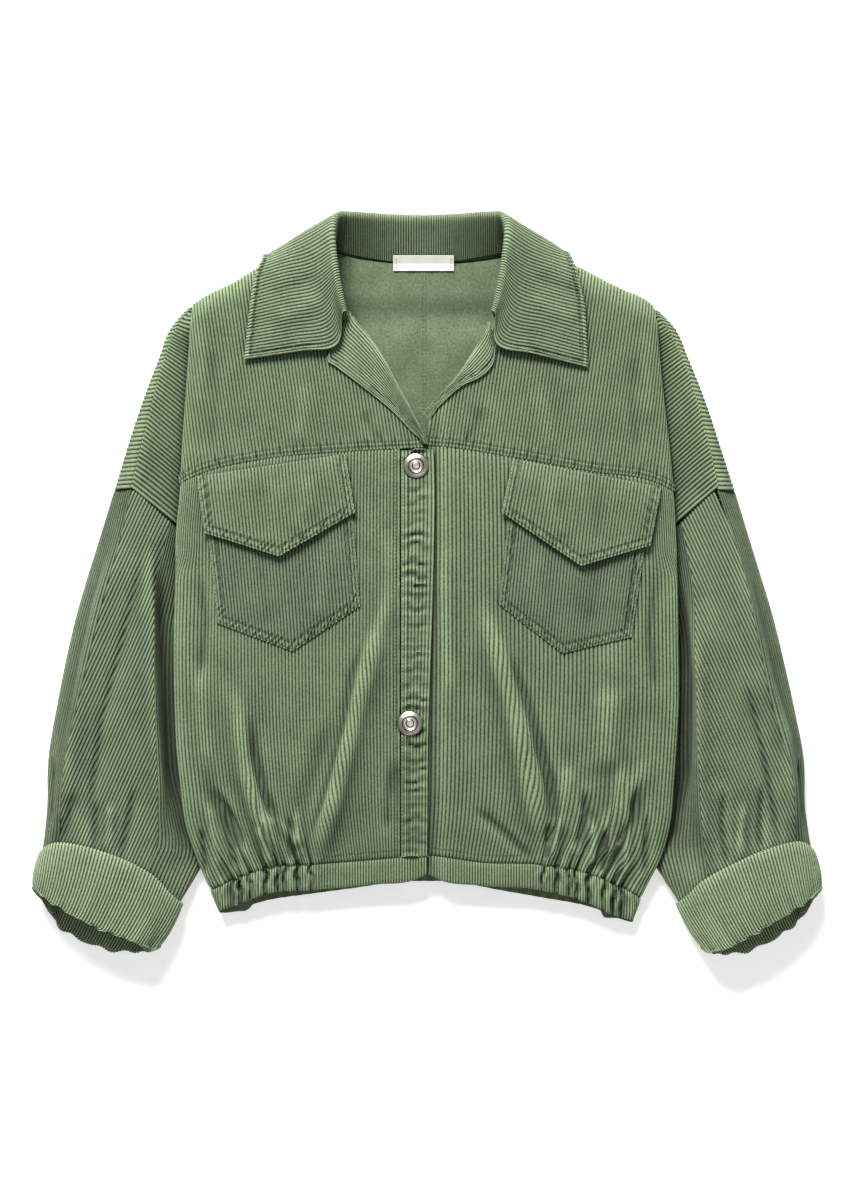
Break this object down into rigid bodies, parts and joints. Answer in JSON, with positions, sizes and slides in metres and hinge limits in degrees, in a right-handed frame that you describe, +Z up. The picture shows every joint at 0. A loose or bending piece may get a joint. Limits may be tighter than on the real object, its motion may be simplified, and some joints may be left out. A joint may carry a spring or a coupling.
{
  "type": "corduroy jacket",
  "caption": "Cropped corduroy jacket laid on its back: wide collar, pointed flap pockets, snapped placket, gathered hem band and turned-up cuffs.",
  "frame": {"origin": "middle of the jacket's box, on the surface it lies on", "axes": "+X towards the wearer's left, +Y towards the collar, +Z up out of the fronts"},
  "size_m": [0.7051, 0.673, 0.0472],
  "materials": {
    "yoke": "washed cotton corduroy",
    "back": "washed cotton corduroy",
    "front": "washed cotton corduroy",
    "hem": "washed cotton corduroy",
    "collar": "washed cotton corduroy",
    "pocket": "washed cotton corduroy",
    "sleeve": "washed cotton corduroy",
    "cuff": "washed cotton corduroy",
    "snap_metal": "aged nickel snap caps",
    "label": "plain cotton tape, blank"
  },
  "bodies": {
    "root": {"back_l": "back", "back_r": "back", "button_low": "snap_metal", "button_top": "snap_metal", "collar": "collar", "cuff_l": "cuff", "cuff_r": "cuff", "flap_l": "pocket", "flap_r": "pocket", "front_l": "front", "front_r": "front", "hem_back": "hem", "hem_l": "hem", "hem_r": "hem", "label": "label", "lapel_l": "collar", "lapel_r": "collar", "placket_r": "front", "pocket_l": "pocket", "pocket_r": "pocket", "sleeve_l": "sleeve", "sleeve_r": "sleeve", "yoke_l": "yoke", "yoke_r": "yoke"}
  },
  "joints": []
}
